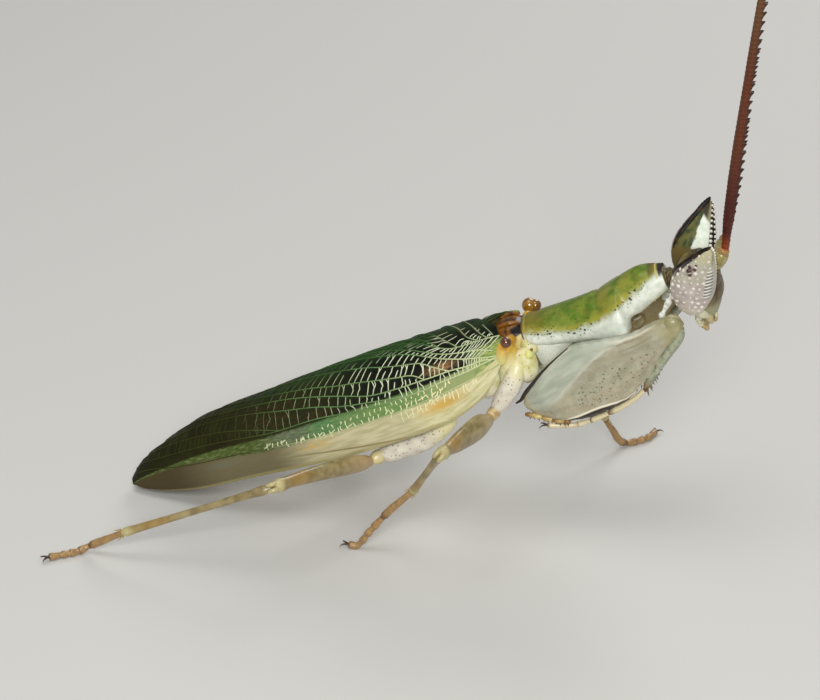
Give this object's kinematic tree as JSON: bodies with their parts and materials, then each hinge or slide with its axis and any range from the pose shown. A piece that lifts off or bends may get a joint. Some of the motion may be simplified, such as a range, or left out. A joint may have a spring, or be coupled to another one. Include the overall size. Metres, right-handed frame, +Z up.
{
  "type": "flower mantis",
  "caption": "Small flower mantis standing at rest, with folded wings, leaf-like catching legs, pointed eyes and long thick feelers, as a still life-size museum model.",
  "frame": {"origin": "on the floor, under the middle of the model's box", "axes": "+X towards the head, +Y to the animal's left, +Z up"},
  "size_m": [0.0328, 0.017, 0.03],
  "materials": {
    "abdomen_brown": "satin, brown above and straw below",
    "yellow_green_cuticle": "waxy yellow-green",
    "feeler_red_brown": "satin dark red-brown",
    "eye_grey_pink": "grey-pink with rows of raised white beads and a dark rim",
    "forewing_green": "satin green membrane with a raised pale net of veins",
    "hindwing_straw": "thin folded membrane, straw coloured",
    "head_olive": "olive and cream cuticle",
    "pale_cuticle": "waxy cream-white with fine dark dots",
    "pronotum_green_white": "waxy yellow-green above, white on the flanks, dark dots between",
    "amber_gloss": "glossy amber",
    "fore_leg_white": "waxy cream-white with grey-green dots",
    "fore_leg_olive": "grey-green and olive",
    "tarsus_brown": "translucent-looking orange-brown",
    "walking_leg_straw": "pale straw with brown knees"
  },
  "bodies": {
    "root": {"abdomen_ring_1": "abdomen_brown", "abdomen_ring_2": "abdomen_brown", "abdomen_ring_3": "abdomen_brown", "abdomen_ring_4": "abdomen_brown", "abdomen_ring_5": "abdomen_brown", "abdomen_ring_6": "abdomen_brown", "abdomen_ring_7": "abdomen_brown", "antenna_base_left": "yellow_green_cuticle", "antenna_base_right": "yellow_green_cuticle", "antenna_left": "feeler_red_brown", "antenna_right": "feeler_red_brown", "cercus_left": "abdomen_brown", "cercus_right": "abdomen_brown", "eye_left": "eye_grey_pink", "eye_right": "eye_grey_pink", "fore_coxa_left": "fore_leg_olive", "fore_coxa_right": "fore_leg_olive", "fore_femur_left": "fore_leg_white", "fore_femur_right": "fore_leg_white", "fore_tarsus_left": "tarsus_brown", "fore_tarsus_right": "tarsus_brown", "fore_tibia_left": "fore_leg_olive", "fore_tibia_right": "fore_leg_olive", "forewing_left": "forewing_green", "forewing_right": "forewing_green", "head": "head_olive", "hind_leg_left_coxa": "pale_cuticle", "hind_leg_left_femur": "walking_leg_straw", "hind_leg_left_tarsus": "tarsus_brown", "hind_leg_left_tibia": "walking_leg_straw", "hind_leg_right_coxa": "pale_cuticle", "hind_leg_right_femur": "walking_leg_straw", "hind_leg_right_tarsus": "tarsus_brown", "hind_leg_right_tibia": "walking_leg_straw", "hindwing_left": "hindwing_straw", "hindwing_right": "hindwing_straw", "mid_leg_left_coxa": "pale_cuticle", "mid_leg_left_femur": "walking_leg_straw", "mid_leg_left_tarsus": "tarsus_brown", "mid_leg_left_tibia": "walking_leg_straw", "mid_leg_right_coxa": "pale_cuticle", "mid_leg_right_femur": "walking_leg_straw", "mid_leg_right_tarsus": "tarsus_brown", "mid_leg_right_tibia": "walking_leg_straw", "mouth": "head_olive", "neck": "pale_cuticle", "prothorax": "pronotum_green_white", "pterothorax": "pale_cuticle", "wing_knob_left": "amber_gloss", "wing_knob_right": "amber_gloss"}
  },
  "joints": []
}
